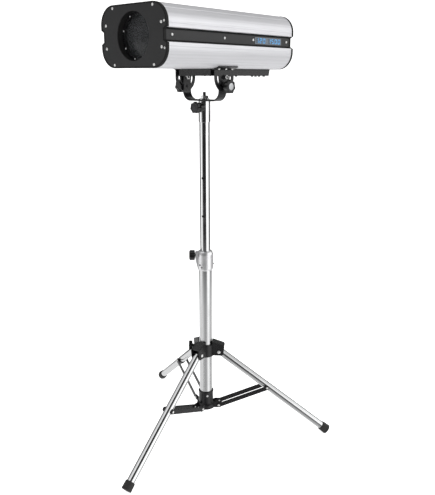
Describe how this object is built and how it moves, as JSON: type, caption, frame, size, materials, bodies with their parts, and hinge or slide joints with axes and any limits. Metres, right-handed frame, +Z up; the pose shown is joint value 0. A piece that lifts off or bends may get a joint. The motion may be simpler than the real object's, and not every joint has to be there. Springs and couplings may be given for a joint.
{
  "type": "follow spot on stand",
  "caption": "Long cylindrical-cornered follow spot lamp tilting in a U-shaped yoke on a telescopic chrome mast with a folding tripod base.",
  "frame": {"origin": "on the floor, at the middle of the part's footprint with the legs spread", "axes": "+Z up; the lamp looks along -Y; +X is the side of the head with the display"},
  "size_m": [0.8208, 0.7915, 1.5205],
  "materials": {
    "shell_aluminium": "fine satin brushing along the head",
    "powder_coat": "fine matt powder coat",
    "black_paint": "semi-matt black paint",
    "black_plastic": "moulded, lightly textured",
    "cast_aluminium": "satin cast and silver painted",
    "chrome": "polished chrome plate",
    "rubber": "matt moulded rubber",
    "lens_glass": "clear polished glass",
    "display": "gloss dark blue window",
    "steel": "zinc-plated",
    "black_oxide": "oiled black oxide",
    "plain_aluminium": "plain mill finish"
  },
  "bodies": {
    "base": {"lower_tube": "chrome", "height_clamp": "cast_aluminium", "base_hub": "black_paint"},
    "clamp_knob": {"clamp_knob": "black_plastic"},
    "collar": {"leg_collar": "black_paint", "leg_pin_1": "steel", "leg_pin_2": "steel", "leg_pin_3": "steel"},
    "collar_knob": {"collar_knob": "black_plastic"},
    "leg_1": {"leg_tube_1": "chrome", "foot_1": "rubber", "leg_clip_1": "black_paint"},
    "brace_1": {"brace_strap_1_left": "black_paint", "brace_strap_1_right": "black_paint"},
    "leg_2": {"leg_tube_2": "chrome", "foot_2": "rubber", "leg_clip_2": "black_paint"},
    "brace_2": {"brace_strap_2_left": "black_paint", "brace_strap_2_right": "black_paint"},
    "leg_3": {"leg_tube_3": "chrome", "foot_3": "rubber", "leg_clip_3": "black_paint"},
    "brace_3": {"brace_strap_3_left": "black_paint", "brace_strap_3_right": "black_paint"},
    "mast": {"upper_pole": "chrome", "pole_plug": "black_plastic", "slide_bush": "black_plastic"},
    "yoke": {"yoke_bar": "black_paint", "socket_sleeve": "chrome", "yoke_bolt": "black_oxide", "pivot_bolt_left": "black_oxide", "pivot_bolt_right": "black_oxide"},
    "mast_knob": {"mast_knob": "black_plastic"},
    "tilt_knob_left": {"tilt_knob_left": "black_plastic"},
    "tilt_knob_right": {"tilt_knob_right": "black_plastic"},
    "head": {"upper_shell": "shell_aluminium", "lower_shell": "shell_aluminium", "side_panel_left": "powder_coat", "side_panel_right": "powder_coat", "front_plate": "powder_coat", "rear_plate": "black_paint", "lens_tube": "black_paint", "front_lens": "lens_glass", "base_tray": "black_paint", "tilt_bracket_left": "black_paint", "tilt_bracket_right": "black_paint", "display_window": "display", "led_module": "plain_aluminium", "heat_sink": "plain_aluminium", "fan_frame": "black_plastic", "optics_frame": "plain_aluminium", "power_supply": "plain_aluminium", "power_inlet": "black_plastic", "signal_socket": "black_plastic"},
    "focus": {"focus_carriage": "plain_aluminium", "focus_lens": "lens_glass", "focus_knob": "black_plastic"},
    "fan": {"fan_rotor": "black_plastic"},
    "power_switch": {"power_switch": "black_plastic"},
    "dimmer_knob": {"dimmer_knob": "black_plastic"}
  },
  "joints": [
    {"name": "clamp_knob_turn", "type": "hinge", "parent": "base", "child": "clamp_knob", "pos_m": [-0.00716, 0.04054, 0.703], "axis": [-0.7431, -0.6691, 0], "range_deg": [0, 360]},
    {"name": "collar_slide", "type": "slide", "parent": "base", "child": "collar", "axis": [0, 0, 1], "range_m": [0, 0.20908]},
    {"name": "collar_knob_turn", "type": "hinge", "parent": "collar", "child": "collar_knob", "pos_m": [-0.00967, 0.04356, 0.35], "axis": [-0.7934, -0.6088, 0], "range_deg": [0, 360]},
    {"name": "leg_1_fold", "type": "hinge", "parent": "collar", "child": "leg_1", "pos_m": [0.03653, 0.02443, 0.332], "axis": [0.9914, 0.1305, 0], "range_deg": [0, 52.33]},
    {"name": "leg_2_fold", "type": "hinge", "parent": "collar", "child": "leg_2", "pos_m": [0.06967, 0.10444, 0.332], "axis": [-0.6088, 0.7934, 0], "range_deg": [0, 52.33]},
    {"name": "leg_3_fold", "type": "hinge", "parent": "collar", "child": "leg_3", "pos_m": [-0.01619, 0.09313, 0.332], "axis": [-0.3827, -0.9239, 0], "range_deg": [0, 52.33]},
    {"name": "brace_1_fold", "type": "hinge", "parent": "base", "child": "brace_1", "pos_m": [0.03653, 0.02443, 0.113], "axis": [-0.9914, -0.1305, 0], "range_deg": [0, 66.77]},
    {"name": "brace_2_fold", "type": "hinge", "parent": "base", "child": "brace_2", "pos_m": [0.06967, 0.10444, 0.113], "axis": [0.6088, -0.7934, 0], "range_deg": [0, 66.77]},
    {"name": "brace_3_fold", "type": "hinge", "parent": "base", "child": "brace_3", "pos_m": [-0.01619, 0.09313, 0.113], "axis": [0.3827, 0.9239, 0], "range_deg": [0, 66.77]},
    {"name": "mast_slide", "type": "slide", "parent": "base", "child": "mast", "axis": [0, 0, 1], "range_m": [-0.43, 0.1]},
    {"name": "yoke_pan", "type": "hinge", "parent": "mast", "child": "yoke", "pos_m": [0.03, 0.074, 1.2], "axis": [0, 0, 1], "continuous": true},
    {"name": "mast_knob_turn", "type": "hinge", "parent": "yoke", "child": "mast_knob", "pos_m": [0.03, 0.024, 1.22], "axis": [0, -1, 0], "range_deg": [0, 360]},
    {"name": "tilt_knob_left_turn", "type": "hinge", "parent": "yoke", "child": "tilt_knob_left", "pos_m": [-0.08, 0.074, 1.2875], "axis": [-1, 0, 0], "range_deg": [0, 360]},
    {"name": "tilt_knob_right_turn", "type": "hinge", "parent": "yoke", "child": "tilt_knob_right", "pos_m": [0.14, 0.074, 1.2875], "axis": [1, 0, 0], "range_deg": [0, 360]},
    {"name": "head_tilt", "type": "hinge", "parent": "yoke", "child": "head", "pos_m": [0.03, 0.074, 1.317], "axis": [1, 0, 0], "range_deg": [-70, 60]},
    {"name": "focus_slide", "type": "slide", "parent": "head", "child": "focus", "axis": [0, 1, 0], "range_m": [-0.055, 0.055]},
    {"name": "fan_spin", "type": "hinge", "parent": "head", "child": "fan", "pos_m": [0.03, 0.244, 1.432], "axis": [0, 1, 0], "continuous": true},
    {"name": "power_switch_rock", "type": "hinge", "parent": "head", "child": "power_switch", "pos_m": [-0.006, 0.3778, 1.37], "axis": [-1, 0, 0], "range_deg": [0, 24]},
    {"name": "dimmer_turn", "type": "hinge", "parent": "head", "child": "dimmer_knob", "pos_m": [0.092, 0.3873, 1.37], "axis": [0, 1, 0], "range_deg": [-20, 250]}
  ],
  "couplings": [
    {"joint": "leg_1_fold", "follows": "collar_slide", "rad_per_m": 4.3646},
    {"joint": "leg_2_fold", "follows": "collar_slide", "rad_per_m": 4.3646},
    {"joint": "leg_3_fold", "follows": "collar_slide", "rad_per_m": 4.3646},
    {"joint": "brace_1_fold", "follows": "collar_slide", "rad_per_m": 5.5693},
    {"joint": "brace_2_fold", "follows": "collar_slide", "rad_per_m": 5.5693},
    {"joint": "brace_3_fold", "follows": "collar_slide", "rad_per_m": 5.5693}
  ]
}
